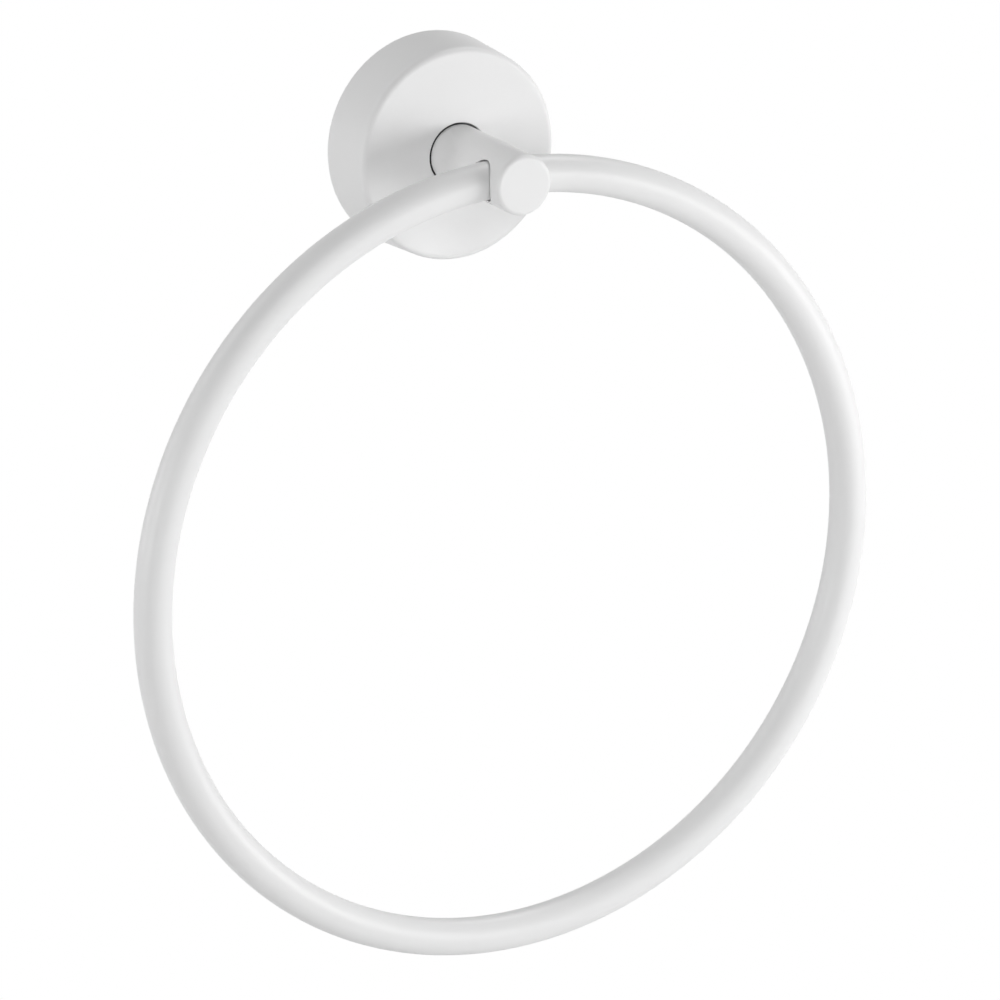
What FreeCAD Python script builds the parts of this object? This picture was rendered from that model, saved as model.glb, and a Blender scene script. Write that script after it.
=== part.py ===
"""Towel ring for a wall: a ring swings in a round post's tip, and a deep round cover hides the wall plate.

Sizes are in millimetres. The origin is the middle of the wall face, on the post's axis. +Y runs into the
wall, so the post stands out along -Y. +Z is up, and the ring hangs down from the post's tip.
"""
import FreeCAD, Part
import os
from math import cos, pi, radians, sin, sqrt, tan

# Reach of the post
wall_to_bore = 36.0            # wall face to the axis of the cross bore that the ring swings in
bore_to_tip = 7.8              # axis of the cross bore to the post's flat tip

# Ring, a round bar bent through the post to a full circle, its joint welded and ground flush
ring_outer_d = 180.0
ring_bar_d = 8.2               # 8 mm bar under its coat
ring_bore_clearance = 0.4      # round the bar in the cross bore, where its bend takes up part of it

# Post, turned from round bar
post_side_wall = 2.1           # metal left above and below the cross bore
post_tip_round = 1.0
post_shoulder = 2.1            # step from the post down to its rear spigot
spigot_chamfer = 0.5
spigot_flat_depth = 0.6        # flat under the spigot, for its lock screw
spigot_flat_margin = 0.8       # flat past the lock screw, to each side

# Cover, a deep drafted cup that slides along the post
cover_back_d = 48.4
cover_depth = 14.7
cover_draft_deg = 3.0
cover_wall = 1.0
cover_inner_round = 0.4        # inside the front edge
cover_back_round = 0.35
cover_bore_clearance = 0.45    # all round the post
cover_bore_round = 0.15

# Wall plate, cast, with a socket for the spigot
plate_base = 3.0
plate_play = 0.4               # between the plate's rim and the cover
rim_height = 5.0
rim_width = 3.8
rim_round = 0.4
boss_wall = 5.0
boss_front_gap = 0.6           # between the boss and the inside of the cover's face
boss_chamfer = 0.4
spigot_play = 0.05
spigot_end_gap = 0.5           # between the spigot and the bottom of its socket
fixing_hole_d = 4.6
fixing_head_d = 8.0
fixing_count = 2

# Rubber grip ring in the groove of the plate's rim
grip_section_d = 2.0
grip_from_wall = 2.5
grip_play = 0.05

# Lock screw, a set screw driven from below once the cover is slid forward
lock_screw_d = 5.0
lock_screw_length = 5.0
lock_screw_play = 0.05
lock_screw_chamfer = 0.4
lock_screw_socket = 2.5        # across the flats of the hexagon
lock_screw_socket_depth = 2.4

# Sizes that follow from those above
ring_bar_r = ring_bar_d / 2
ring_r = ring_outer_d / 2 - ring_bar_r
ring_bore_r = ring_bar_r + ring_bore_clearance
post_r = ring_bore_r + post_side_wall
post_tip = wall_to_bore + bore_to_tip
bend_in_bore = ring_r - sqrt(ring_r ** 2 - post_r ** 2)
spigot_r = post_r - post_shoulder
socket_r = spigot_r + spigot_play
boss_r = socket_r + boss_wall
boss_height = cover_depth - cover_wall - boss_front_gap
spigot_end = plate_base + spigot_end_gap
cover_back_r = cover_back_d / 2
cover_bore_r = post_r + cover_bore_clearance
cover_front_round = cover_inner_round + cover_wall
lock_screw_from_wall = (plate_base + boss_height) / 2

AXIS = FreeCAD.Vector(0, 1, 0)
DOWN = FreeCAD.Vector(0, 0, -1)
ALONG_BORE = FreeCAD.Vector(1, 0, 0)
OUT = FreeCAD.Vector(0, -1, 0)
TOLERANCE = 1e-4
HEXAGON_SIDES = 6


def on_axis(distance):
    """Point on the post's axis at a distance from the wall."""
    return FreeCAD.Vector(0, -distance, 0)


def turned(outline):
    """Solid turned about the post's axis, from corners given as radius and distance from the wall."""
    corners = [FreeCAD.Vector(radius, -distance, 0) for radius, distance in outline]
    face = Part.Face(Part.makePolygon(corners + corners[:1]))
    return face.revolve(on_axis(0), AXIS, 360)


def circles_at(solid, radius, distance):
    """Edges of a turned solid that are circles of this radius at this distance from the wall."""
    found = []
    for edge in solid.Edges:
        curve = edge.Curve
        if curve.TypeId != "Part::GeomCircle":
            continue
        if abs(curve.Radius - radius) < TOLERANCE and abs(curve.Center.y + distance) < TOLERANCE:
            found.append(edge)
    return found


def drilled(solid, start, direction, radius, length):
    """Solid with a round hole cut from a start point."""
    return solid.cut(Part.makeCylinder(radius, length, start, direction))


def cover_outer_r(distance):
    """Radius of the cover's drafted side at a distance from the wall."""
    return cover_back_r - distance * tan(radians(cover_draft_deg))


def cover_inner_r(distance):
    return cover_outer_r(distance) - cover_wall


def make_cover():
    """Cup open to the wall, with a round front edge and the bore that the post comes through."""
    inner_depth = cover_depth - cover_wall
    cup = turned([
        (cover_inner_r(0), 0),
        (cover_back_r, 0),
        (cover_outer_r(cover_depth), cover_depth),
        (cover_bore_r, cover_depth),
        (cover_bore_r, inner_depth),
        (cover_inner_r(inner_depth), inner_depth),
    ])
    cup = cup.makeFillet(cover_front_round, circles_at(cup, cover_outer_r(cover_depth), cover_depth))
    cup = cup.makeFillet(cover_inner_round, circles_at(cup, cover_inner_r(inner_depth), inner_depth))
    cup = cup.makeFillet(cover_back_round, circles_at(cup, cover_back_r, 0))
    return cup.makeFillet(cover_bore_round, circles_at(cup, cover_bore_r, cover_depth))


def make_post():
    """Turned bar with the cross bore for the ring, and a rear spigot with a flat for its lock screw."""
    bar = turned([
        (0, spigot_end),
        (spigot_r, spigot_end),
        (spigot_r, boss_height),
        (post_r, boss_height),
        (post_r, post_tip),
        (0, post_tip),
    ])
    bar = bar.makeFillet(post_tip_round, circles_at(bar, post_r, post_tip))
    bar = bar.makeChamfer(spigot_chamfer, circles_at(bar, spigot_r, spigot_end))
    bore_start = on_axis(wall_to_bore) - ALONG_BORE * post_r
    bar = drilled(bar, bore_start, ALONG_BORE, ring_bore_r, 2 * post_r)
    flat_length = lock_screw_d + 2 * spigot_flat_margin
    flat_corner = on_axis(lock_screw_from_wall + flat_length / 2) + DOWN * (2 * spigot_r - spigot_flat_depth)
    flat_corner = flat_corner - ALONG_BORE * spigot_r
    return bar.cut(Part.makeBox(2 * spigot_r, flat_length, spigot_r, flat_corner))


def make_ring():
    """Full circle of round bar, its bend in the bore shared out above and below the axis that it swings on."""
    centre = on_axis(wall_to_bore) + DOWN * (ring_r - bend_in_bore / 2)
    return Part.makeTorus(ring_r, ring_bar_r, centre, AXIS)


def make_post_lock_screw():
    """Set screw with its point up on the spigot's flat and its hexagon socket facing down."""
    point = on_axis(lock_screw_from_wall) + DOWN * (spigot_r - spigot_flat_depth)
    screw = Part.makeCylinder(lock_screw_d / 2, lock_screw_length, point, DOWN)
    ends = [edge for edge in screw.Edges if edge.Curve.TypeId == "Part::GeomCircle"]
    screw = screw.makeChamfer(lock_screw_chamfer, ends)
    corner_r = lock_screw_socket / 2 / cos(pi / HEXAGON_SIDES)
    mouth = point + DOWN * lock_screw_length
    corners = []
    for side in range(HEXAGON_SIDES):
        turn = 2 * pi * side / HEXAGON_SIDES
        corners.append(mouth + FreeCAD.Vector(corner_r * cos(turn), corner_r * sin(turn), 0))
    hexagon = Part.Face(Part.makePolygon(corners + corners[:1]))
    return screw.cut(hexagon.extrude(DOWN * -lock_screw_socket_depth))


def make_wall_plate():
    """Round cast plate: a raised rim with the grip ring's groove, and a boss with the spigot's socket."""
    rim_r = cover_inner_r(rim_height) - plate_play
    rim_inner_r = rim_r - rim_width
    groove_r = cover_inner_r(grip_from_wall) - grip_section_d - 2 * grip_play
    groove_half = grip_section_d / 2 + grip_play
    plate = turned([
        (0, 0),
        (rim_r, 0),
        (rim_r, grip_from_wall - groove_half),
        (groove_r, grip_from_wall - groove_half),
        (groove_r, grip_from_wall + groove_half),
        (rim_r, grip_from_wall + groove_half),
        (rim_r, rim_height),
        (rim_inner_r, rim_height),
        (rim_inner_r, plate_base),
        (boss_r, plate_base),
        (boss_r, boss_height),
        (socket_r, boss_height),
        (socket_r, plate_base),
        (0, plate_base),
    ])
    plate = plate.makeFillet(rim_round, circles_at(plate, rim_r, rim_height))
    plate = plate.makeFillet(rim_round, circles_at(plate, rim_inner_r, rim_height))
    plate = plate.makeChamfer(boss_chamfer, circles_at(plate, boss_r, boss_height))
    plate = plate.makeChamfer(boss_chamfer, circles_at(plate, socket_r, boss_height))
    hole_offset = (boss_r + rim_inner_r) / 2
    sink_depth = (fixing_head_d - fixing_hole_d) / 2
    for index in range(fixing_count):
        turn = 2 * pi * index / fixing_count
        across = FreeCAD.Vector(hole_offset * cos(turn), 0, hole_offset * sin(turn))
        plate = drilled(plate, across, OUT, fixing_hole_d / 2, plate_base)
        sink = Part.makeCone(
            fixing_hole_d / 2, fixing_head_d / 2, sink_depth, across + on_axis(plate_base - sink_depth), OUT
        )
        plate = plate.cut(sink)
    return drilled(plate, on_axis(lock_screw_from_wall), DOWN, lock_screw_d / 2 + lock_screw_play, boss_r)


def make_cover_grip_ring():
    """Rubber ring between the groove's floor and the inside of the cover."""
    section_r = grip_section_d / 2
    centre_r = cover_inner_r(grip_from_wall) - grip_play - section_r
    return Part.makeTorus(centre_r, section_r, on_axis(grip_from_wall), AXIS)


PIECES = {
    "cover": make_cover,
    "post": make_post,
    "ring": make_ring,
    "wall_plate": make_wall_plate,
    "post_lock_screw": make_post_lock_screw,
    "cover_grip_ring": make_cover_grip_ring,
}

os.makedirs("parts", exist_ok=True)
for node, make in PIECES.items():
    piece = make()
    piece.exportStep("parts/" + node + ".step")
    print(node, len(piece.Solids), round(piece.Volume, 1))
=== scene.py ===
# %% [markdown]
# A towel ring for a bathroom wall. A round post stands out from the wall, and a ring of round bar swings in
# a bore across its tip. A deep round cover hides the wall plate that the post is locked into. Everything
# that shows is coated with the same satin white powder.
#
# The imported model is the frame: each piece that is made here takes its place and its main sizes from the
# boxes of the model's nodes, so a piece lands where the real one sits and needs no fitting.

import bmesh
import bpy
from math import asin, atan2, ceil, cos, pi, radians, sin, tan
from mathutils import Matrix, Vector


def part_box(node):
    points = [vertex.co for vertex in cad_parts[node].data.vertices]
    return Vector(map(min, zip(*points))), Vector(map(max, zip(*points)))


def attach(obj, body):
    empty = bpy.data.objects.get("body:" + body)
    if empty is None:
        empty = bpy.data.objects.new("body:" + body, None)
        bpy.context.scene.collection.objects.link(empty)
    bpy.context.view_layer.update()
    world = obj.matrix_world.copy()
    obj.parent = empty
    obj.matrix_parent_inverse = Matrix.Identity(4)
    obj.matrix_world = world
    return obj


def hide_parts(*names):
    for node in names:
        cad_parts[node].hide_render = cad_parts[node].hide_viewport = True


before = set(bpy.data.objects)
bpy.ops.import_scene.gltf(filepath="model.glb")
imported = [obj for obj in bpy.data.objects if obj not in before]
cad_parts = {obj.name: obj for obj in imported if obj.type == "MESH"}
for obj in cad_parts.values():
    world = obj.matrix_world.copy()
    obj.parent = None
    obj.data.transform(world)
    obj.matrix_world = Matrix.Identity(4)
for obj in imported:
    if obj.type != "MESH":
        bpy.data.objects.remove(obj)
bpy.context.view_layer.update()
MM = 0.001


print("nodes:", sorted(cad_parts))

# %% [markdown]
# Sizes come first. The boxes of the nodes give the large ones: the ring's outside and its bar, the cover's
# back and its depth, the post's width and its tip. What a box can't give, such as a wall, a draft or a
# round edge, is a named value in the cell of its piece. Distances from the wall count along the post, so
# the point of the post's axis at the distance d lies at y = -d.

# %% Read the main sizes from the boxes
X, Y, Z = range(3)


def half_size(node, axis):
    """Half of a node's size along one axis."""
    low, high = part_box(node)
    return (high[axis] - low[axis]) / 2


def middle(node, axis):
    """Middle of a node along one axis."""
    low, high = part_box(node)
    return (low[axis] + high[axis]) / 2


def front_of(node):
    """Distance from the wall to a node's front."""
    return -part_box(node)[0][Y]


BAR_R = half_size("ring", Y)
RING_R = half_size("ring", X) - BAR_R
RING_CENTRE = Vector([middle("ring", axis) for axis in (X, Y, Z)])
BORE_FROM_WALL = -RING_CENTRE.y
POST_R = half_size("post", X)
POST_TIP = front_of("post")
COVER_BACK_R = half_size("cover", X)
COVER_DEPTH = front_of("cover")
for name, value in (("bar radius", BAR_R), ("ring radius", RING_R), ("post radius", POST_R),
                    ("post tip", POST_TIP), ("cover radius", COVER_BACK_R), ("cover depth", COVER_DEPTH)):
    print(f"{name}: {value / MM:.2f} mm")

# %% [markdown]
# The camera stands where the photograph was taken from: to the left of the post and above it, and far off
# with a long lens, which keeps the near and far sides of the ring almost the same size. Its direction is
# written as an azimuth and an elevation about a point near the ring's middle. Three small turns, in
# radians, then frame the object. Turning frames it without shifting the lens, so that the camera can move
# to any other side later.

# %% Place the camera
CAMERA_AZIMUTH = radians(29.023)
CAMERA_ELEVATION = radians(18.823)
CAMERA_DISTANCE = 1.4615
CAMERA_TARGET = Vector((0.0, -0.03924, -0.0859))
CAMERA_PAN = 0.002439
CAMERA_TILT = 0.009577
CAMERA_ROLL = 0.007184
FOCAL_PIXELS = 6771.27
PICTURE_PIXELS = 1000
SENSOR_MM = 36.0


def direction(azimuth, elevation):
    """Direction away from the object. Azimuth 0 is straight in front, and more is to the left."""
    return Vector((-sin(azimuth) * cos(elevation), -cos(azimuth) * cos(elevation), sin(elevation)))


def turned_pair(one, two, angle):
    """Two directions at a right angle, turned together in their own plane."""
    return one * cos(angle) + two * sin(angle), two * cos(angle) - one * sin(angle)


away = direction(CAMERA_AZIMUTH, CAMERA_ELEVATION)
look = -away
right = look.cross(Vector((0, 0, 1))).normalized()
up = right.cross(look)
look, right = turned_pair(look, right, -CAMERA_PAN)
look, up = turned_pair(look, up, CAMERA_TILT)
right, up = turned_pair(right, up, -CAMERA_ROLL)

camera_data = bpy.data.cameras.new("product_camera")
camera_data.sensor_width = SENSOR_MM
camera_data.lens = FOCAL_PIXELS / PICTURE_PIXELS * SENSOR_MM
camera_data.clip_start = 0.05
camera_data.clip_end = 50.0
camera = bpy.data.objects.new("product_camera", camera_data)
bpy.context.scene.collection.objects.link(camera)
camera.matrix_world = Matrix((right, up, -look)).transposed().to_4x4()
camera.location = CAMERA_TARGET + away * CAMERA_DISTANCE
bpy.context.scene.camera = camera
print(f"lens {camera_data.lens:.1f} mm, {CAMERA_DISTANCE:.3f} m from its target")

# %% [markdown]
# Materials and shapes are both built from node trees here, where every input has a name. Four short helpers
# keep that readable: one adds a node and joins its inputs by name, one starts a group with named sockets,
# one does a step of arithmetic, and one gives noise whose waves have a real size.

# %% Helpers that build node trees
def add_node(tree, kind, inputs=None, **settings):
    """New node with its settings made, and each named input given a value or joined to a node's output."""
    node = tree.nodes.new(kind)
    for key, value in settings.items():
        setattr(node, key, value)
    for key, value in (inputs or {}).items():
        socket = node.inputs[key]
        if isinstance(value, bpy.types.NodeSocket):
            tree.links.new(value, socket)
        else:
            socket.default_value = value
    return node


def new_group(name, kind, inputs, outputs):
    """Empty node group. Its inputs are given as name: (socket kind, value), its outputs as name: kind."""
    tree = bpy.data.node_groups.new(name, kind)
    for label, (socket_kind, value) in inputs.items():
        socket = tree.interface.new_socket(name=label, in_out="INPUT",
                                           socket_type="NodeSocket" + socket_kind)
        if value is not None:
            socket.default_value = value
    for label, socket_kind in outputs.items():
        tree.interface.new_socket(name=label, in_out="OUTPUT", socket_type="NodeSocket" + socket_kind)
    return tree, tree.nodes.new("NodeGroupInput").outputs, tree.nodes.new("NodeGroupOutput").inputs


def maths(tree, operation, *values):
    """Output of a Math node that joins or sets its inputs in order."""
    return add_node(tree, "ShaderNodeMath", dict(enumerate(values)), operation=operation).outputs[0]


def noise(tree, place, size, detail=2.0, roughness=0.5):
    """Noise from 0 to 1 whose waves are about as long as the size in metres."""
    scale = maths(tree, "DIVIDE", 1.0, size)
    inputs = {"Vector": place, "Scale": scale, "Detail": detail, "Roughness": roughness}
    return add_node(tree, "ShaderNodeTexNoise", inputs).outputs["Fac"]


print("node helpers: add_node, new_group, maths, noise")

# %% [markdown]
# The finish of the real ring is powder coat: a dry white powder, charged so that it clings to the metal,
# then melted in an oven into one skin about a tenth of a millimetre thick. Seen close, the skin is not
# flat. It flows into shallow waves about a millimetre long, called orange peel, with a finer grain on top
# that makes it satin rather than glossy. The waves are only a few thousandths of a millimetre high, so they
# are a bump and not a shape. Three materials use the same effect, so it is built once as a node group.

# %% Build the powder coat group
coat, given, result = new_group(
    "powder_coat_skin", "ShaderNodeTree",
    {"Vector": ("Vector", None), "Colour": ("Color", (0.86, 0.86, 0.86, 1)), "Tone Shift": ("Float", 0.02),
     "Roughness": ("Float", 0.42), "Roughness Shift": ("Float", 0.06), "Peel Size": ("Float", 1.3 * MM),
     "Grain Size": ("Float", 0.18 * MM), "Grain Share": ("Float", 0.25), "Cloud Size": ("Float", 14.0 * MM)},
    {"Colour": "Color", "Roughness": "Float", "Height": "Float"})
peel = noise(coat, given["Vector"], given["Peel Size"])
grain = noise(coat, given["Vector"], given["Grain Size"], detail=1.0)
cloud = noise(coat, given["Vector"], given["Cloud Size"], detail=3.0)
waves = add_node(coat, "ShaderNodeMix", {"Factor": given["Grain Share"], "A": peel, "B": grain})
coat.links.new(waves.outputs["Result"], result["Height"])
centred = maths(coat, "SUBTRACT", cloud, 0.5)
shade = maths(coat, "MULTIPLY_ADD", centred, given["Tone Shift"], 1.0)
tone = add_node(coat, "ShaderNodeVectorMath", {0: given["Colour"], "Scale": shade}, operation="SCALE")
coat.links.new(tone.outputs[0], result["Colour"])
satin = maths(coat, "MULTIPLY_ADD", centred, given["Roughness Shift"], given["Roughness"])
coat.links.new(satin, result["Roughness"])
print("powder coat group:", [item.name for item in coat.interface.items_tree])

# %% [markdown]
# A material joins the group to one Principled shader. The shader stays in the material, so that an exported
# model can read it. The pattern hangs on Object coordinates: every piece's object stands at the origin, so
# the waves keep their real size on each piece and don't swim when the camera moves.

# %% Make the three coated materials
PEEL_DEPTH = 0.006 * MM
WHITE = (0.86, 0.86, 0.86, 1)


def skinned(name, group, values, bump_depth, metallic=0.0):
    """Material whose colour, roughness and bump come from a group with the given values."""
    material = bpy.data.materials.new(name)
    material.use_nodes = True
    tree = material.node_tree
    shader = tree.nodes["Principled BSDF"]
    shader.inputs["Metallic"].default_value = metallic
    place = add_node(tree, "ShaderNodeTexCoord").outputs["Object"]
    skin = add_node(tree, "ShaderNodeGroup", node_tree=group)
    tree.links.new(place, skin.inputs["Vector"])
    for key, value in values.items():
        skin.inputs[key].default_value = value
    bump = add_node(tree, "ShaderNodeBump", {"Height": skin.outputs["Height"], "Distance": bump_depth})
    tree.links.new(skin.outputs["Colour"], shader.inputs["Base Color"])
    tree.links.new(skin.outputs["Roughness"], shader.inputs["Roughness"])
    tree.links.new(bump.outputs["Normal"], shader.inputs["Normal"])
    return material


def coated(name, roughness, cloud_size):
    """Satin white powder coat."""
    values = {"Colour": WHITE, "Roughness": roughness, "Cloud Size": cloud_size}
    return skinned(name, coat, values, PEEL_DEPTH)


COVER_COAT = coated("satin_coat_cover", roughness=0.45, cloud_size=16.0 * MM)
POST_COAT = coated("satin_coat_post", roughness=0.45, cloud_size=9.0 * MM)
RING_COAT = coated("satin_coat_ring", roughness=0.42, cloud_size=12.0 * MM)
print("coats:", COVER_COAT.name, POST_COAT.name, RING_COAT.name)

# %% [markdown]
# Three pieces behind the cover are bare: the cast plate, the steel lock screw and the rubber grip ring. The
# rear of the post has only the dark grey phosphate that steel gets before it is coated, and that dark grey
# is
# also painted shade: it shows through the thin gap round the post and makes the gap darker. Their surfaces
# differ, but all have a fine tooth and patches that are a little duller or darker, so a second group gives
# both, and each material sets its own sizes. The casting and the screw are metallic, the others aren't.

# %% Build the tooth group
tooth, given, result = new_group(
    "bare_tooth", "ShaderNodeTree",
    {"Vector": ("Vector", None), "Colour": ("Color", (0.6, 0.6, 0.6, 1)),
     "Dull Colour": ("Color", (0.4, 0.4, 0.4, 1)), "Roughness": ("Float", 0.4),
     "Roughness Shift": ("Float", 0.2), "Tooth Size": ("Float", 0.3 * MM),
     "Patch Size": ("Float", 5.0 * MM)},
    {"Colour": "Color", "Roughness": "Float", "Height": "Float"})
grit = noise(tooth, given["Vector"], given["Tooth Size"], detail=3.0, roughness=0.6)
tooth.links.new(grit, result["Height"])
patch = noise(tooth, given["Vector"], given["Patch Size"], detail=4.0, roughness=0.6)
blend = add_node(tooth, "ShaderNodeMix", data_type="RGBA")
tooth.links.new(patch, blend.inputs["Factor"])
colour_sockets = [socket for socket in blend.inputs if socket.type == "RGBA"]
tooth.links.new(given["Colour"], colour_sockets[0])
tooth.links.new(given["Dull Colour"], colour_sockets[1])
tooth.links.new([socket for socket in blend.outputs if socket.type == "RGBA"][0], result["Colour"])
around = maths(tooth, "SUBTRACT", patch, 0.5)
spread = maths(tooth, "MULTIPLY_ADD", around, given["Roughness Shift"], given["Roughness"])
tooth.links.new(spread, result["Roughness"])
print("tooth group:", [item.name for item in tooth.interface.items_tree])


# %% Make the four bare materials
def bare(name, colour, dull, roughness, metallic, tooth_size, tooth_depth):
    """Uncoated metal or rubber with a fine tooth."""
    values = {"Colour": (*colour, 1), "Dull Colour": (*dull, 1), "Roughness": roughness,
              "Tooth Size": tooth_size}
    return skinned(name, tooth, values, tooth_depth, metallic)


CAST = bare("zinc_casting", (0.44, 0.445, 0.455), (0.32, 0.325, 0.335), roughness=0.6, metallic=1.0,
            tooth_size=0.35 * MM, tooth_depth=0.02 * MM)
STEEL = bare("set_screw_steel", (0.62, 0.61, 0.59), (0.5, 0.49, 0.48), roughness=0.3, metallic=1.0,
             tooth_size=0.12 * MM, tooth_depth=0.004 * MM)
RUBBER = bare("black_rubber", (0.03, 0.03, 0.03), (0.045, 0.045, 0.045), roughness=0.6, metallic=0.0,
              tooth_size=0.2 * MM, tooth_depth=0.01 * MM)
# The phosphate's dark grey is partly painted shade: it darkens the thin gap round the post.
PHOSPHATE_GAP_SHADE = bare("phosphated_steel_gap_shade", (0.1, 0.1, 0.105), (0.07, 0.07, 0.075), roughness=0.75, metallic=0.0,
                 tooth_size=0.08 * MM, tooth_depth=0.004 * MM)
print("bare materials:", CAST.name, STEEL.name, RUBBER.name, PHOSPHATE_GAP_SHADE.name)

# %% [markdown]
# The cover, the plate and the grip ring are turned shapes: one outline, spun once about the post's axis. So
# the outline is all that has to be drawn. Each corner is written as radius, distance from the wall and
# round, and a helper lays an arc in it. A flat face next to an arc would seem to bulge in smooth shading,
# because the two share their edge's normals, so each straight run also gets a point close to each of its
# ends.

# %% Draw an outline with round corners
ARC_STEPS = 8
END_MARGIN = 0.06 * MM
SHORT_RUN = 0.3 * MM


def arc_at(before, here, after, radius):
    """Points of the arc that rounds one corner of an outline."""
    back = (before - here).normalized()
    on = (after - here).normalized()
    half = back.angle(on) / 2
    centre = here + (back + on).normalized() * (radius / sin(half))
    start = here + back * (radius / tan(half)) - centre
    end = here + on * (radius / tan(half)) - centre
    turn = atan2(start.x * end.y - start.y * end.x, start.dot(end))
    return [centre + Matrix.Rotation(turn * step / ARC_STEPS, 2) @ start for step in range(ARC_STEPS + 1)]


def outline(corners, closed):
    """Points of an outline from corners given as radius, distance from the wall and round."""
    flat = [Vector(corner[:2]) for corner in corners]
    points = []
    for index, (here, corner) in enumerate(zip(flat, corners)):
        at_end = not closed and index in (0, len(flat) - 1)
        if at_end or corner[2] == 0:
            points.append(here)
        else:
            points += arc_at(flat[index - 1], here, flat[(index + 1) % len(flat)], corner[2])
    spaced = []
    for index, point in enumerate(points):
        spaced.append(point)
        if index == len(points) - 1 and not closed:
            break
        run = points[(index + 1) % len(points)] - point
        if run.length > SHORT_RUN:
            step = run.normalized() * END_MARGIN
            spaced += [point + step, point + run - step]
    return spaced


print("each round corner is laid in", ARC_STEPS, "steps")


# %% Turn an outline's points into a line of mesh edges
def outline_mesh(name, points, closed):
    """Outline as a line of mesh edges, its radius along X and its distance from the wall along -Y."""
    mesh = bpy.data.meshes.new(name)
    edges = [(i, i + 1) for i in range(len(points) - 1)]
    vertices = [(point.x, -point.y, 0) for point in points]
    if closed:
        vertices.append(vertices[0])
        edges.append((len(points) - 1, len(points)))
    mesh.from_pydata(vertices, edges, [])
    print(f"{name}: {len(vertices)} points, {len(edges)} edges")
    return mesh


# %% [markdown]
# Geometry Nodes does the spinning. The tree lays out a grid, one row for each step of the turn, puts each
# row's points on the outline and turns the row about the axis. Merging joins the last row to the first and
# closes the middle, so the shape has no seam. The same tree makes every turned piece, and its inputs are
# the outline, the number of steps and the material. Each tree ends by making its instances real and setting
# the material, so that what it hands over is plain faces that know what they are made of.

# %% Build the tree that spins an outline
def end_tree(tree, geometry, material, result):
    """Last two nodes of a tree: real geometry, in one material."""
    real = add_node(tree, "GeometryNodeRealizeInstances", {"Geometry": geometry})
    painted = add_node(tree, "GeometryNodeSetMaterial", {"Geometry": real.outputs[0], "Material": material})
    tree.links.new(painted.outputs[0], result["Geometry"])


spin, given, result = new_group(
    "turned_piece", "GeometryNodeTree",
    {"Outline": ("Geometry", None), "Steps Round": ("Int", 192), "Merge Distance": ("Float", 0.002 * MM),
     "Material": ("Material", None)},
    {"Geometry": "Geometry"})
measured = add_node(spin, "GeometryNodeAttributeDomainSize", {"Geometry": given["Outline"]})
count = measured.outputs["Point Count"]
rows = maths(spin, "ADD", given["Steps Round"], 1.0)
grid = add_node(spin, "GeometryNodeMeshGrid", {"Vertices X": rows, "Vertices Y": count})
index = add_node(spin, "GeometryNodeInputIndex").outputs[0]
row = maths(spin, "FLOOR", maths(spin, "DIVIDE", maths(spin, "ADD", index, 0.5), count))
along = maths(spin, "SUBTRACT", index, maths(spin, "MULTIPLY", row, count))
spot = add_node(spin, "GeometryNodeSampleIndex", {"Geometry": given["Outline"]}, data_type="FLOAT_VECTOR")
spin.links.new(add_node(spin, "GeometryNodeInputPosition").outputs[0], spot.inputs["Value"])
spin.links.new(along, spot.inputs["Index"])
turn = maths(spin, "MULTIPLY", maths(spin, "DIVIDE", row, given["Steps Round"]), 2 * pi)
spun = add_node(spin, "ShaderNodeVectorRotate",
                {"Vector": spot.outputs["Value"], "Axis": (0, 1, 0), "Angle": turn})
placed = add_node(spin, "GeometryNodeSetPosition",
                  {"Geometry": grid.outputs["Mesh"], "Position": spun.outputs[0]})
merged = add_node(spin, "GeometryNodeMergeByDistance",
                  {"Geometry": placed.outputs[0], "Distance": given["Merge Distance"]})
end_tree(spin, merged.outputs[0], given["Material"], result)
print("spinning tree:", len(spin.nodes), "nodes")


# %% Turn a tree's result into a plain mesh
def made_by_nodes(name, tree, start_mesh, values):
    """Plain mesh that a tree makes from a start mesh. The helper object and its modifier are removed."""
    helper = bpy.data.objects.new(name + "_helper", start_mesh)
    bpy.context.scene.collection.objects.link(helper)
    modifier = helper.modifiers.new("nodes", "NODES")
    modifier.node_group = tree
    for item in tree.interface.items_tree:
        if item.in_out == "INPUT" and item.name in values:
            modifier[item.identifier] = values[item.name]
    bpy.context.view_layer.update()
    evaluated = helper.evaluated_get(bpy.context.evaluated_depsgraph_get())
    mesh = bpy.data.meshes.new_from_object(evaluated)
    mesh.name = name
    helper.modifiers.clear()
    bpy.data.objects.remove(helper)
    print(f"{name}: {len(mesh.vertices)} vertices from the tree {tree.name}")
    return mesh


# %% Turn a mesh into a finished piece
SHARP_DEGREES = 40


def face_outwards(mesh):
    """Turns a closed mesh's faces outwards, and returns its volume and its number of open edges."""
    work = bmesh.new()
    work.from_mesh(mesh)
    if work.calc_volume(signed=True) < 0:
        bmesh.ops.reverse_faces(work, faces=work.faces)
    open_edges = sum(1 for edge in work.edges if len(edge.link_faces) != 2)
    volume = work.calc_volume(signed=True)
    work.to_mesh(mesh)
    work.free()
    return volume, open_edges


def finish_piece(name, mesh, node, body, sharp_degrees=SHARP_DEGREES):
    """Makes a mesh the piece that stands for one node of the model and rides on a body."""
    volume, open_edges = face_outwards(mesh)
    mesh.shade_smooth()
    mesh.set_sharp_from_angle(angle=radians(sharp_degrees))
    piece = bpy.data.objects.new(name, mesh)
    bpy.context.scene.collection.objects.link(piece)
    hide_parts(node)
    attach(piece, body)
    print(f"{name}: {len(mesh.polygons)} faces, {open_edges} open edges, {volume / MM ** 3:.0f} cubic mm")


print("edges over", SHARP_DEGREES, "degrees stay sharp, unless a piece sets its own angle")
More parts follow.
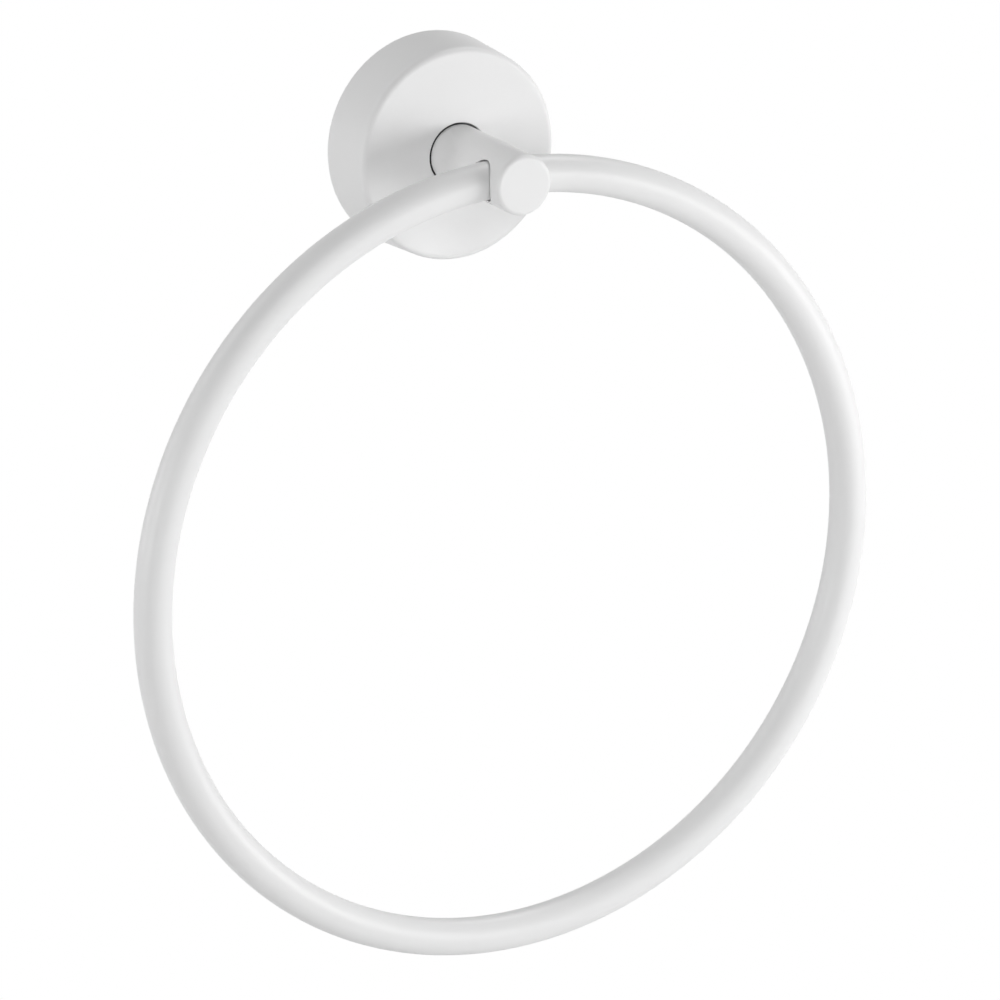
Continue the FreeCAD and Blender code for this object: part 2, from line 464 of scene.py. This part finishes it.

# %% [markdown]
# The cover is a deep pressed cup with a draft of three degrees, which is what lets it leave its tool. Its
# front edge has a soft round that catches a line of light. The bore in its face is only half a millimetre
# wider than the post all round, and the thin dark ring that shows there is that gap. The cup is one closed
# shell with a real wall and a real inside, so the gap is dark because little light finds its way out of it,
# and the post's dark phosphate rear behind the gap adds painted shade to it. The shell has one material, the
# coat, inside and out.

# %% Turn the cover
COVER_DRAFT = radians(3.0)
COVER_WALL = 1.0 * MM
COVER_INNER_ROUND = 0.4 * MM
COVER_BACK_ROUND = 0.35 * MM
COVER_BORE_CLEARANCE = 0.45 * MM
COVER_BORE_R = POST_R + COVER_BORE_CLEARANCE
COVER_BORE_ROUND = 0.15 * MM
COVER_STEPS = 288
EDGE_OF_COAT = 0.15 * MM
INNER_DEPTH = COVER_DEPTH - COVER_WALL
FULL_BACK_R = COVER_BACK_R + COVER_BACK_ROUND * (tan(COVER_DRAFT) + 1 / cos(COVER_DRAFT) - 1)


def cover_r(distance):
    """Radius of the cover's outside at a distance from the wall."""
    return FULL_BACK_R - distance * tan(COVER_DRAFT)


cover_corners = [
    (cover_r(0) - COVER_WALL, 0, EDGE_OF_COAT),
    (FULL_BACK_R, 0, COVER_BACK_ROUND),
    (cover_r(COVER_DEPTH), COVER_DEPTH, COVER_INNER_ROUND + COVER_WALL),
    (COVER_BORE_R, COVER_DEPTH, COVER_BORE_ROUND),
    (COVER_BORE_R, INNER_DEPTH, COVER_BORE_ROUND),
    (cover_r(INNER_DEPTH) - COVER_WALL, INNER_DEPTH, COVER_INNER_ROUND),
]
cover_line = outline_mesh("cover_line", outline(cover_corners, True), True)
cover_mesh = made_by_nodes("cover", spin, cover_line, {"Steps Round": COVER_STEPS, "Material": COVER_COAT})
finish_piece("cover_coated", cover_mesh, "cover", "bracket")

# %% [markdown]
# The ring is one round bar bent to a full circle through the post, so its rule is a circle swept along a
# circle. The tree takes the two radii and the ring's middle from the model's box. It needs enough steps
# that its outline stays round in a close view: with 432 steps, the straight pieces leave the true circle by
# two thousandths of a millimetre.

# %% Build the tree that sweeps a bar round a circle
sweep, given, result = new_group(
    "bar_ring", "GeometryNodeTree",
    {"Ring Radius": ("Float", 0.086), "Bar Radius": ("Float", 0.004), "Centre": ("Vector", None),
     "Steps Round": ("Int", 432), "Steps Across": ("Int", 64), "Material": ("Material", None)},
    {"Geometry": "Geometry"})
path = add_node(sweep, "GeometryNodeCurvePrimitiveCircle",
                {"Resolution": given["Steps Round"], "Radius": given["Ring Radius"]})
section = add_node(sweep, "GeometryNodeCurvePrimitiveCircle",
                   {"Resolution": given["Steps Across"], "Radius": given["Bar Radius"]})
bar = add_node(sweep, "GeometryNodeCurveToMesh",
               {"Curve": path.outputs["Curve"], "Profile Curve": section.outputs["Curve"]})
upright = add_node(sweep, "GeometryNodeTransform", {
    "Geometry": bar.outputs["Mesh"], "Translation": given["Centre"], "Rotation": (pi / 2, 0, 0)})
end_tree(sweep, upright.outputs[0], given["Material"], result)
print("sweeping tree:", len(sweep.nodes), "nodes")

# %% Sweep the ring
ring_mesh = made_by_nodes("ring", sweep, bpy.data.meshes.new("empty_start"), {
    "Ring Radius": RING_R, "Bar Radius": BAR_R, "Centre": RING_CENTRE, "Material": RING_COAT})
finish_piece("ring_coated", ring_mesh, "ring", "ring")

# %% [markdown]
# The post is turned from bar, then bored across for the ring. A Boolean cut would leave long thin faces
# round the bore's mouth, and they shade badly on a smooth white barrel. So the mesh's faces are laid one by
# one, the way a retopology would be: a band of the barrel is split into two square fields, left and right,
# and in each the faces run in rings from the bore's mouth out to the field's edge. The first rings bend over
# the edge of the mouth, which gives it the small round that the coat leaves there.

# %% Lay the field of faces round one mouth of the bore
BORE_CLEARANCE = 0.4 * MM
BORE_R = BAR_R + BORE_CLEARANCE
POST_TIP_ROUND = 1.0 * MM
FIELD_HALF = POST_TIP - POST_TIP_ROUND - END_MARGIN - BORE_FROM_WALL
STEPS_ACROSS_FIELD = 64
STEPS_ALONG_FIELD = 28
MOUTH_STEPS = 5
FIELD_SHARES = (0.01, 0.06, 0.16, 0.32, 0.54, 0.78, 1.0)
POST_ANGLES = [-pi / 2 + pi * i / STEPS_ACROSS_FIELD for i in range(2 * STEPS_ACROSS_FIELD)]


def field_edge():
    """Points round the edge of one field, as an angle about the post's axis and a distance from the bore."""
    across = POST_ANGLES[:STEPS_ACROSS_FIELD]
    along = [-FIELD_HALF + 2 * FIELD_HALF * i / STEPS_ALONG_FIELD for i in range(STEPS_ALONG_FIELD)]
    first = [(angle, -FIELD_HALF) for angle in across] + [(pi / 2, offset) for offset in along]
    return first + [(-angle, -offset) for angle, offset in first]


def on_barrel(angle, offset, side):
    """Point of the barrel's right or left side, at an angle about its axis and a distance from the bore."""
    return Vector((side * POST_R * cos(angle), -(BORE_FROM_WALL + offset), POST_R * sin(angle)))


def mouth_spoke(angle, offset, side):
    """Points from inside the bore, over its rounded mouth and out to one point of the field's edge."""
    turn = atan2(POST_R * angle, offset)

    def at_radius(radius):
        return asin(radius * sin(turn) / POST_R), radius * cos(turn)

    edge = on_barrel(*at_radius(BORE_R), side)
    inside = edge - Vector((side * EDGE_OF_COAT, 0, 0))
    start = at_radius(BORE_R + EDGE_OF_COAT)
    outside = on_barrel(*start, side)
    spoke = []
    for step in range(MOUTH_STEPS + 1):
        share = step / MOUTH_STEPS
        spoke.append(inside * (1 - share) ** 2 + edge * 2 * share * (1 - share) + outside * share ** 2)
    for share in FIELD_SHARES:
        at_share = [near + (far - near) * share for near, far in zip(start, (angle, offset))]
        spoke.append(on_barrel(*at_share, side))
    return spoke


print(f"bore: {2 * BORE_R / MM:.2f} mm wide, {BORE_FROM_WALL / MM:.2f} mm from the wall")
print("each field:", len(field_edge()), "spokes of", len(mouth_spoke(0, FIELD_HALF, 1)), "points")

# %% [markdown]
# The rest of the post is plain turned surface, laid as rows of points at the same angles as the fields'
# edges, so the two kinds of surface meet point to point. Behind the cover the post steps down to a spigot
# that sits in the plate's socket, and a flat under the spigot gives the lock screw something to bear on.
# The rear, up to just inside the cover's bore, is masked off when the post is coated, so it keeps the dark
# phosphate. That dark rear also stands as painted shade in the thin gap round the post.

# %% Draw the post's rear and its tip
POST_END = -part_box("post")[1][Y]
BOSS_FRONT_GAP = 0.6 * MM
SHOULDER = COVER_DEPTH - COVER_WALL - BOSS_FRONT_GAP
SHOULDER_STEP = 2.1 * MM
SPIGOT_R = POST_R - SHOULDER_STEP
SPIGOT_CHAMFER = 0.5 * MM
SPIGOT_FLAT = 0.6 * MM
SPIGOT_FLAT_LENGTH = 6.6 * MM
FLAT_END_WIDTH = 0.02 * MM
# The dark rear reaches just inside the cover's bore, so that it shows in the gap as painted shade.
MASK_DEPTH = 0.25 * MM
MASK_END = COVER_DEPTH - MASK_DEPTH
SCREW_FROM_WALL = -middle("post_lock_screw", Y)


def flatten_spigot(point):
    """Point moved up onto the flat under the spigot, where the lock screw bears."""
    from_screw = abs(-point.y - SCREW_FROM_WALL)
    if from_screw < SPIGOT_FLAT_LENGTH / 2 and point.z < SPIGOT_FLAT - SPIGOT_R:
        return Vector((point.x, point.y, SPIGOT_FLAT - SPIGOT_R))
    return point


def row_round_post(radius, distance):
    """Points round the post's axis, at the same angles as the fields' edges."""
    return [flatten_spigot(Vector((radius * cos(a), -distance, radius * sin(a)))) for a in POST_ANGLES]


flat_ends = [SCREW_FROM_WALL + side * (SPIGOT_FLAT_LENGTH / 2 + width)
             for side in (-1, 1) for width in (0, FLAT_END_WIDTH)]
rear = outline([
    (0, POST_END, 0), (SPIGOT_R - SPIGOT_CHAMFER, POST_END, 0), (SPIGOT_R, POST_END + SPIGOT_CHAMFER, 0),
    *[(SPIGOT_R, distance, 0) for distance in sorted(flat_ends)],
    (SPIGOT_R, SHOULDER, 0), (POST_R, SHOULDER, EDGE_OF_COAT), (POST_R, MASK_END, 0),
    (POST_R, BORE_FROM_WALL - FIELD_HALF, 0)], False)
tip = outline([
    (POST_R, BORE_FROM_WALL + FIELD_HALF, 0), (POST_R, POST_TIP, POST_TIP_ROUND), (0, POST_TIP, 0)], False)
print(len(rear), "points in the rear's outline,", len(tip), "in the tip's")

# %% Join the post up
MERGE_DISTANCE = 0.001 * MM
SLIVER = 0.0005 * MM


def lay_rows(work, rows):
    """Faces between closed rows of points, each row joined to the next."""
    laid = [[work.verts.new(point) for point in row] for row in rows]
    for one, two in zip(laid, laid[1:]):
        for i in range(len(one)):
            j = (i + 1) % len(one)
            work.faces.new((one[i], one[j], two[j], two[i]))


def laid_mesh(work, name, material, sliver=None):
    """Plain mesh of the laid faces. Points that meet are merged, and slivers dissolved where asked."""
    bmesh.ops.remove_doubles(work, verts=work.verts, dist=MERGE_DISTANCE)
    if sliver:
        bmesh.ops.dissolve_degenerate(work, edges=work.edges, dist=sliver)
    bmesh.ops.recalc_face_normals(work, faces=work.faces)
    mesh = bpy.data.meshes.new(name)
    work.to_mesh(mesh)
    work.free()
    mesh.materials.append(material)
    return mesh


work = bmesh.new()
for points in (rear, tip):
    lay_rows(work, [row_round_post(point.x, point.y) for point in points])
mouths = []
for side in (1, -1):
    spokes = [mouth_spoke(angle, offset, side) for angle, offset in field_edge()]
    rows = [list(row) for row in zip(*spokes)]
    lay_rows(work, rows)
    mouths.append(rows[0])
lay_rows(work, mouths)
post_mesh = laid_mesh(work, "post", POST_COAT, SLIVER)
# The rear faces take the dark phosphate, which is also painted shade in the gap round the post.
post_mesh.materials.append(PHOSPHATE_GAP_SHADE)
phosphate_shade_slot = len(post_mesh.materials) - 1
masked = [face for face in post_mesh.polygons if -face.center.y < MASK_END]
for face in masked:
    face.material_index = phosphate_shade_slot
print(len(masked), "faces at the rear of the post are masked from the coat")
finish_piece("post_coated", post_mesh, "post", "bracket")

# %% [markdown]
# The wall plate is a zinc casting that the cover hides. It carries the whole load: screws through its two
# holes hold it to the wall, and its thick boss holds the post. Its outline is turned like the cover's, with
# a groove in the rim for the grip ring. The fixing holes repeat on a circle, so a tree sets one
# countersunk cutter on each point of a circle and cuts them all away at once, with one more cutter for the
# lock screw's hole.

# %% Shape the plate's cutters
CUTTER_STEPS = 64
OVERCUT = 0.2 * MM
SHANK_LENGTH_IN_BASES = 3.0
SINK_TIP_SHARE = 0.999
drill, given, result = new_group(
    "drilled_plate", "GeometryNodeTree",
    {"Plate": ("Geometry", None), "Hole Count": ("Int", 2), "Hole Circle": ("Float", 0.014),
     "Hole Radius": ("Float", 0.0023), "Head Radius": ("Float", 0.004), "Base Thickness": ("Float", 0.003),
     "Screw Hole Radius": ("Float", 0.00255), "Screw Hole Place": ("Vector", None),
     "Screw Hole Length": ("Float", 0.01), "Material": ("Material", None)},
    {"Geometry": "Geometry"})


def cutter(shape, sizes, place):
    """Cylinder or cone of the given sizes, turned and moved to where it cuts."""
    solid = add_node(drill, shape, {"Vertices": CUTTER_STEPS, **sizes})
    return add_node(drill, "GeometryNodeTransform", {"Geometry": solid.outputs["Mesh"], **place}).outputs[0]


shank_length = maths(drill, "MULTIPLY", given["Base Thickness"], SHANK_LENGTH_IN_BASES)
shank = cutter("GeometryNodeMeshCylinder", {"Radius": given["Hole Radius"], "Depth": shank_length},
               {"Rotation": (pi / 2, 0, 0)})
flare = maths(drill, "SUBTRACT", given["Head Radius"], given["Hole Radius"])
sink_sizes = {"Radius Bottom": maths(drill, "ADD", given["Head Radius"], OVERCUT),
              "Radius Top": maths(drill, "MULTIPLY", given["Hole Radius"], SINK_TIP_SHARE),
              "Depth": maths(drill, "ADD", flare, OVERCUT)}
sink_front = maths(drill, "MULTIPLY", maths(drill, "ADD", given["Base Thickness"], OVERCUT), -1.0)
sink_place = add_node(drill, "ShaderNodeCombineXYZ", {"Y": sink_front}).outputs[0]
sink = cutter("GeometryNodeMeshCone", sink_sizes, {"Rotation": (-pi / 2, 0, 0), "Translation": sink_place})
screw_hole = cutter("GeometryNodeMeshCylinder",
                    {"Radius": given["Screw Hole Radius"], "Depth": given["Screw Hole Length"]},
                    {"Translation": given["Screw Hole Place"]})
print("cutters:", len(drill.nodes), "nodes so far")

# %% Repeat the cutters on a circle and cut them away
which = add_node(drill, "GeometryNodeInputIndex").outputs[0]
turn = maths(drill, "MULTIPLY", maths(drill, "DIVIDE", which, given["Hole Count"]), 2 * pi)
spot = add_node(drill, "ShaderNodeCombineXYZ",
                {"X": maths(drill, "COSINE", turn), "Z": maths(drill, "SINE", turn)})
on_circle = add_node(drill, "ShaderNodeVectorMath", {0: spot.outputs[0], "Scale": given["Hole Circle"]},
                     operation="SCALE")
places = add_node(drill, "GeometryNodePoints",
                  {"Count": given["Hole Count"], "Position": on_circle.outputs[0]}).outputs[0]
repeated = [add_node(drill, "GeometryNodeInstanceOnPoints", {"Points": places, "Instance": tool}).outputs[0]
            for tool in (shank, sink)]
cut = given["Plate"]
for tool in (*repeated, screw_hole):
    solid = add_node(drill, "GeometryNodeRealizeInstances", {"Geometry": tool})
    step = add_node(drill, "GeometryNodeMeshBoolean", {"Mesh 1": cut, "Mesh 2": solid.outputs[0]},
                    operation="DIFFERENCE", solver="MANIFOLD")
    cut = step.outputs["Mesh"]
end_tree(drill, cut, given["Material"], result)
print("drilling tree:", len(drill.nodes), "nodes")

# %% Name the plate's sizes
PLATE_R = half_size("wall_plate", X)
PLATE_DEPTH = front_of("wall_plate")
PLATE_BASE = 3.0 * MM
CAST_ROUND = 0.15 * MM
RIM_HEIGHT = 5.0 * MM
RIM_WIDTH = 3.8 * MM
RIM_INNER_R = PLATE_R - RIM_WIDTH
RIM_ROUND = 0.4 * MM
SPIGOT_PLAY = 0.05 * MM
SOCKET_R = SPIGOT_R + SPIGOT_PLAY
BOSS_WALL = 5.0 * MM
BOSS_R = SOCKET_R + BOSS_WALL
BOSS_CHAMFER = 0.4 * MM
HOLE_COUNT = 2
HOLE_R = 2.3 * MM
HEAD_R = 4.0 * MM
GRIP_R = half_size("cover_grip_ring", Y)
GRIP_RING_R = half_size("cover_grip_ring", X) - GRIP_R
GRIP_FROM_WALL = -middle("cover_grip_ring", Y)
GRIP_PLAY = 0.05 * MM
GROOVE_HALF = GRIP_R + GRIP_PLAY
GROOVE_R = GRIP_RING_R - GRIP_R - GRIP_PLAY
SCREW_R = half_size("post_lock_screw", X)
SCREW_PLAY = 0.05 * MM
PLATE_STEPS = 192
print(f"plate: {2 * PLATE_R / MM:.2f} mm wide, with a socket of {2 * SOCKET_R / MM:.2f} mm")
print(f"groove: {2 * GROOVE_HALF / MM:.2f} mm wide, down to a radius of {GROOVE_R / MM:.2f} mm")

# %% Turn the plate, then drill it
plate_corners = [
    (0, 0, 0), (PLATE_R, 0, CAST_ROUND),
    (PLATE_R, GRIP_FROM_WALL - GROOVE_HALF, CAST_ROUND), (GROOVE_R, GRIP_FROM_WALL - GROOVE_HALF, 0),
    (GROOVE_R, GRIP_FROM_WALL + GROOVE_HALF, 0), (PLATE_R, GRIP_FROM_WALL + GROOVE_HALF, CAST_ROUND),
    (PLATE_R, RIM_HEIGHT, RIM_ROUND), (RIM_INNER_R, RIM_HEIGHT, RIM_ROUND),
    (RIM_INNER_R, PLATE_BASE, CAST_ROUND), (BOSS_R, PLATE_BASE, CAST_ROUND),
    (BOSS_R, PLATE_DEPTH - BOSS_CHAMFER, 0), (BOSS_R - BOSS_CHAMFER, PLATE_DEPTH, 0),
    (SOCKET_R + BOSS_CHAMFER, PLATE_DEPTH, 0), (SOCKET_R, PLATE_DEPTH - BOSS_CHAMFER, 0),
    (SOCKET_R, PLATE_BASE, 0), (0, PLATE_BASE, 0)]
plate_line = outline_mesh("plate_line", outline(plate_corners, False), False)
plate_blank = made_by_nodes("plate_blank", spin, plate_line, {"Steps Round": PLATE_STEPS, "Material": CAST})
face_outwards(plate_blank)
plate_mesh = made_by_nodes("wall_plate", drill, plate_blank, {
    "Hole Count": HOLE_COUNT, "Hole Circle": (BOSS_R + RIM_INNER_R) / 2, "Hole Radius": HOLE_R,
    "Head Radius": HEAD_R, "Base Thickness": PLATE_BASE, "Screw Hole Radius": SCREW_R + SCREW_PLAY,
    "Screw Hole Place": Vector((0, -SCREW_FROM_WALL, -SOCKET_R / 2 - BOSS_R / 2)),
    "Screw Hole Length": BOSS_R, "Material": CAST})
finish_piece("wall_plate_cast", plate_mesh, "wall_plate", "bracket", sharp_degrees=25)

# %% [markdown]
# The lock screw is a small set screw with a real thread. Its surface is a grid wrapped round an axis, and
# the radius of each point rises and falls with its height and its turn together, which winds the ridge into
# a helix. The chamfers at both ends cut the ridge down. The hexagon socket in its lower end is a ring of
# points moved onto the sides of a hexagon, then carried up into the screw and closed with a shallow cone.

# %% Shape the thread and the socket
SCREW_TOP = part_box("post_lock_screw")[1][Z]
SCREW_LENGTH = 2 * half_size("post_lock_screw", Z)
PITCH = 0.8 * MM
THREAD_DEPTH = 0.45 * MM
FLANK_SLOPE = 1.25
CREST_FLAT = 0.06
SCREW_CHAMFER = 0.4 * MM
SOCKET_HALF = 1.25 * MM
SOCKET_DEPTH = 2.4 * MM
SOCKET_CONE = 0.4 * MM
SCREW_STEPS = 72
ROWS_PER_TURN = 10
SCREW_TURNS = [2 * pi * i / SCREW_STEPS for i in range(SCREW_STEPS)]


def thread_r(height, turn):
    """Radius of the thread at a height above the screw's lower end and a turn about its axis."""
    wave = (height / PITCH - turn / (2 * pi)) % 1.0
    groove = min(1.0, max(0.0, FLANK_SLOPE * abs(2 * wave - 1) - CREST_FLAT))
    from_end = min(height, SCREW_LENGTH - height)
    return min(SCREW_R - THREAD_DEPTH * groove, SCREW_R - SCREW_CHAMFER + from_end)


def hexagon_r(turn):
    """Distance from the axis to the side of the hexagon socket."""
    return SOCKET_HALF / cos((turn + pi / 6) % (pi / 3) - pi / 6)


def screw_row(radii, height):
    """Row of points round the screw's upright axis, at a height above its lower end."""
    up = SCREW_TOP - SCREW_LENGTH + height
    return [Vector((radius * cos(turn), -SCREW_FROM_WALL + radius * sin(turn), up))
            for radius, turn in zip(radii, SCREW_TURNS)]


print(f"thread: {SCREW_LENGTH / PITCH:.2f} turns, core radius {(SCREW_R - THREAD_DEPTH) / MM:.2f} mm")

# %% Wind the lock screw
on_axis = [0.0] * SCREW_STEPS
hexagon = [hexagon_r(turn) for turn in SCREW_TURNS]
rows_up = ceil(SCREW_LENGTH / PITCH * ROWS_PER_TURN)
heights = [SCREW_LENGTH * i / rows_up for i in range(rows_up + 1)]
rows = [screw_row(on_axis, SOCKET_DEPTH + SOCKET_CONE), screw_row(hexagon, SOCKET_DEPTH)]
rows.append(screw_row(hexagon, 0.0))
rows += [screw_row([thread_r(height, turn) for turn in SCREW_TURNS], height) for height in heights]
rows.append(screw_row(on_axis, SCREW_LENGTH))
work = bmesh.new()
lay_rows(work, rows)
screw_mesh = laid_mesh(work, "post_lock_screw", STEEL)
finish_piece("lock_screw_threaded", screw_mesh, "post_lock_screw", "bracket",
             sharp_degrees=30)

# %% [markdown]
# The grip ring is a rubber ring in the rim's groove. It holds the cover by friction, so that the cover can
# be slid forward along the post to reach the lock screw. It is turned by the same tree, from a round
# outline.

# %% Turn the grip ring
GRIP_STEPS = 24
GRIP_STEPS_ROUND = 160
grip_turns = [2 * pi * i / GRIP_STEPS for i in range(GRIP_STEPS)]
grip_points = [Vector((GRIP_RING_R + GRIP_R * cos(turn), GRIP_FROM_WALL + GRIP_R * sin(turn)))
               for turn in grip_turns]
grip_line = outline_mesh("grip_line", grip_points, True)
grip_mesh = made_by_nodes("cover_grip_ring", spin, grip_line,
                          {"Steps Round": GRIP_STEPS_ROUND, "Material": RUBBER})
finish_piece("grip_ring_rubber", grip_mesh, "cover_grip_ring", "bracket")

# %% [markdown]
# White on white needs soft light that still has a side. The background is plain white only where it is
# looked at: by the camera, in a reflection or through glass. The object itself is lit by soft lamps at a
# plain level and by a dim even world, so its brightest side stays below white, its shaded side is a light
# grey, and its edges stay readable.

# %% Light the world
AMBIENT = 0.08


def looked_at(tree):
    """1 for rays from the camera, from a reflection or through glass, and 0 for those that light things."""
    rays = add_node(tree, "ShaderNodeLightPath").outputs
    straight = maths(tree, "MAXIMUM", rays["Is Camera Ray"], rays["Is Transmission Ray"])
    return maths(tree, "MAXIMUM", straight, rays["Is Glossy Ray"])


world = bpy.data.worlds.new("studio")
bpy.context.scene.world = world
world.use_nodes = True
sky = world.node_tree
sky.nodes.clear()
plain = add_node(sky, "ShaderNodeBackground", {"Color": (1, 1, 1, 1), "Strength": AMBIENT})
white = add_node(sky, "ShaderNodeBackground", {"Color": (1, 1, 1, 1), "Strength": 1.0})
chosen = add_node(sky, "ShaderNodeMixShader", {0: looked_at(sky), 1: plain.outputs[0], 2: white.outputs[0]})
add_node(sky, "ShaderNodeOutputWorld", {"Surface": chosen.outputs[0]})
print("the world lights the object at", AMBIENT)

# %% [markdown]
# Each lamp is a square soft box, and all of them hang at the same distance. A row gives a lamp's azimuth
# and elevation in degrees, the length of its side in metres and its power in watts. The names say where a
# lamp hangs, seen from the front. A little more than half of the power comes from the right.

# %% Hang the lamps
LAMP_TARGET = Vector((0, -0.03, -0.08))
LAMP_DISTANCE = 1.2
LAMPS = {
    "key_front_high": (5, 30, 0.35, 2.3),
    "front_left": (40, 5, 0.35, 1.2),
    "left": (80, 5, 0.35, 3.3),
    "front_right": (-40, 5, 0.35, 2.0),
    "wide_front_right": (-30, 0, 0.55, 2.3),
    "wide_right": (-60, 0, 0.55, 4.9),
    "right_behind_high": (-120, 55, 0.35, 3.7),
    "wide_left_behind_high": (125, 38, 0.55, 2.1),
    "left_behind": (125, 5, 0.35, 1.6),
}
for name, (azimuth, elevation, side, watts) in LAMPS.items():
    lamp_data = bpy.data.lights.new(name, "AREA")
    lamp_data.shape = "SQUARE"
    lamp_data.size = side
    lamp_data.energy = watts
    lamp = bpy.data.objects.new(name, lamp_data)
    bpy.context.scene.collection.objects.link(lamp)
    out = direction(radians(azimuth), radians(elevation))
    lamp.location = LAMP_TARGET + out * LAMP_DISTANCE
    lamp.rotation_euler = out.to_track_quat("Z", "Y").to_euler()
print(len(LAMPS), "lamps,", round(sum(values[-1] for values in LAMPS.values()), 1), "watts together")

# %% [markdown]
# The floor is matt white paper well below the ring. Where it is looked at, most of it is plain white, and
# near the object a fifth of it is the real lit paper, so a soft shadow stays. That share fades out with the
# distance from the middle, and the floor meets the white background without an edge.

# %% Lay the floor
FLOOR_Z = -0.42
FLOOR_HALF = 6.0
FADE_START = 0.1
FADE_END = 0.5
WHITE_NEAR = 0.8
corners = [(x * FLOOR_HALF, y * FLOOR_HALF, FLOOR_Z) for x, y in ((-1, -1), (1, -1), (1, 1), (-1, 1))]
floor_mesh = bpy.data.meshes.new("floor")
floor_mesh.from_pydata(corners, [], [(0, 1, 2, 3)])
floor = bpy.data.objects.new("floor", floor_mesh)
bpy.context.scene.collection.objects.link(floor)
paper = bpy.data.materials.new("white_paper_floor")
paper.use_nodes = True
tree = paper.node_tree
tree.nodes.clear()
matt = add_node(tree, "ShaderNodeBsdfDiffuse", {"Color": (0.8, 0.8, 0.8, 1)})
glow = add_node(tree, "ShaderNodeEmission", {"Color": (1, 1, 1, 1), "Strength": 1.0})
place = add_node(tree, "ShaderNodeTexCoord").outputs["Object"]
flat_place = add_node(tree, "ShaderNodeVectorMath", {0: place, 1: (1, 1, 0)}, operation="MULTIPLY")
from_middle = add_node(tree, "ShaderNodeVectorMath", {0: flat_place.outputs[0]}, operation="LENGTH")
fade = add_node(tree, "ShaderNodeMapRange", {
    "Value": from_middle.outputs["Value"], "From Min": FADE_START, "From Max": FADE_END,
    "To Min": WHITE_NEAR, "To Max": 1.0})
share = maths(tree, "MULTIPLY", looked_at(tree), fade.outputs["Result"])
both = add_node(tree, "ShaderNodeMixShader", {0: share, 1: matt.outputs[0], 2: glow.outputs[0]})
add_node(tree, "ShaderNodeOutputMaterial", {"Surface": both.outputs[0]})
floor_mesh.materials.append(paper)
print("floor at", FLOOR_Z, "m")

# %% [markdown]
# The last cell sets how colours are shown.

# %% Set how colours are shown
view = bpy.context.scene.view_settings
view.view_transform = "Standard"
